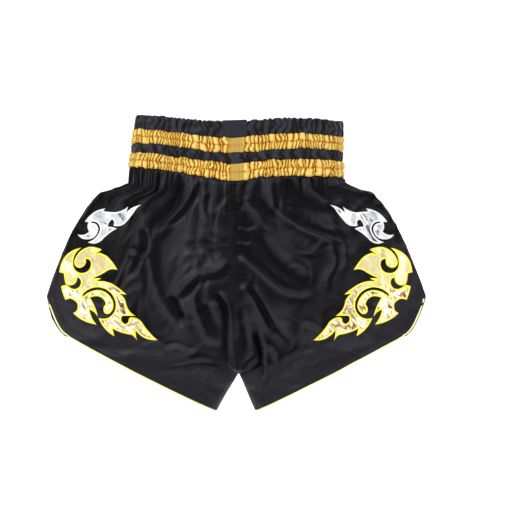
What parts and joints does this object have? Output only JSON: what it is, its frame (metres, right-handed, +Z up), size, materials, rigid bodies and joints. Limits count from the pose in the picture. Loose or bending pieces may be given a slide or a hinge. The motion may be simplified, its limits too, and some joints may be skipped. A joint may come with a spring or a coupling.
{
  "type": "boxing shorts",
  "caption": "Satin boxing shorts with a gathered elastic waistband, gold ribbons, open side vents, piped hems and foil flame applique.",
  "frame": {"origin": "middle of the waistband's top opening", "axes": "+Z up out of the waist opening, +X across the shorts to the wearer's right, -Y the back of the shorts"},
  "size_m": [0.4904, 0.144, 0.3759],
  "materials": {
    "black_satin": "black satin, soft sheen",
    "gold_satin": "gold satin ribbon, gathered",
    "lining_cloth": "dull black lining",
    "elastic": "woven elastic",
    "pale_piping": "pale yellow satin piping",
    "gold_foil": "crinkled gold foil on cloth",
    "silver_foil": "silver-white foil on cloth",
    "yellow_thread": "yellow satin stitch",
    "white_thread": "white satin stitch",
    "eyelet": "black pressed eyelet"
  },
  "bodies": {
    "root": {"waistband_lining": "lining_cloth", "top_tunnel": "black_satin", "upper_gold_ribbon": "gold_satin", "middle_tunnel": "black_satin", "lower_gold_ribbon": "gold_satin", "drawcord_eyelets": "eyelet", "crotch_gusset": "black_satin", "top_elastic": "elastic", "upper_elastic": "elastic", "middle_elastic": "elastic", "lower_elastic": "elastic", "back_left_panel": "black_satin", "back_right_panel": "black_satin", "front_left_panel": "black_satin", "front_right_panel": "black_satin", "back_left_hem_piping": "pale_piping", "back_right_hem_piping": "pale_piping", "front_left_hem_piping": "pale_piping", "front_right_hem_piping": "pale_piping", "back_left_gold_flame": "gold_foil", "back_right_gold_flame": "gold_foil", "front_left_gold_flame": "gold_foil", "front_right_gold_flame": "gold_foil", "back_left_gold_flame_border": "yellow_thread", "back_right_gold_flame_border": "yellow_thread", "front_left_gold_flame_border": "yellow_thread", "front_right_gold_flame_border": "yellow_thread", "back_left_white_flame": "silver_foil", "back_right_white_flame": "silver_foil", "front_left_white_flame": "silver_foil", "front_right_white_flame": "silver_foil", "back_left_white_flame_border": "white_thread", "back_right_white_flame_border": "white_thread", "front_left_white_flame_border": "white_thread", "front_right_white_flame_border": "white_thread"}
  },
  "joints": []
}
